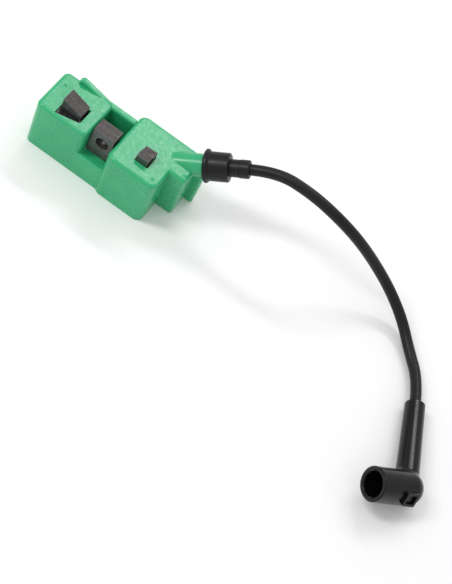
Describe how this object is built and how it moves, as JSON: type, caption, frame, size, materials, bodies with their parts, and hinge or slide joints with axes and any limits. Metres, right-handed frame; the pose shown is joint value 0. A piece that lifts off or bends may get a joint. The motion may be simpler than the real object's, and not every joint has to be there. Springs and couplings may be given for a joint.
{
  "type": "ignition coil",
  "caption": "Capacitor-discharge ignition coil with a laminated E-core in a moulded housing, a high-tension lead and an angled spark plug boot.",
  "frame": {"origin": "middle of the footprint of the module (housing, core, tower and cap, without the free lead and boot), on the plane of its potted underside", "axes": "+X along the housing towards the lead, +Y to the rear where the engine boss sits, +Z towards the flywheel (pole faces up)"},
  "size_m": [0.2256, 0.0958, 0.0464],
  "materials": {
    "green_plastic": "moulded, semi-gloss",
    "resin": "cast, satin",
    "core_steel": "sheared lamination edges, lightly oxidised",
    "rivet_steel": "plain",
    "bobbin_plastic": "moulded",
    "copper": "enamelled wire",
    "board": "coated laminate",
    "capacitor_case": "dipped film",
    "black_epoxy": "moulded",
    "resistor_body": "lacquered",
    "tinned_brass": "tinned",
    "cap_rubber": "smooth moulded",
    "lead_jacket": "extruded, satin",
    "boot_rubber": "polished moulded",
    "spring_steel": "drawn wire"
  },
  "bodies": {
    "module": {"housing": "green_plastic", "potting": "resin", "core_pack_front": "core_steel", "core_pack_rear": "core_steel", "core_rivets": "rivet_steel", "pole_strips": "core_steel", "charge_bobbin": "bobbin_plastic", "charge_winding": "copper", "trigger_winding": "copper", "primary_bobbin": "bobbin_plastic", "primary_winding": "copper", "secondary_bobbin": "bobbin_plastic", "secondary_winding": "copper", "circuit_board": "board", "storage_capacitor": "capacitor_case", "thyristor": "black_epoxy", "diodes": "black_epoxy", "resistors": "resistor_body", "stop_terminal": "tinned_brass", "ht_terminal": "tinned_brass", "ht_wire": "copper", "lead_root": "lead_jacket", "wire_root": "copper", "tower_cap": "cap_rubber", "ignition_lead": "lead_jacket", "lead_tail": "lead_jacket", "wire_tail": "copper", "lead_spike": "tinned_brass"},
    "boot": {"plug_boot": "boot_rubber", "plug_spring": "spring_steel"}
  },
  "joints": [
    {"name": "boot_swivel", "type": "hinge", "parent": "module", "child": "boot", "pos_m": [0.15931, -0.01138, 0.00445], "axis": [-0.3247, 0.9429, -0.075], "range_deg": [-20, 70]}
  ]
}
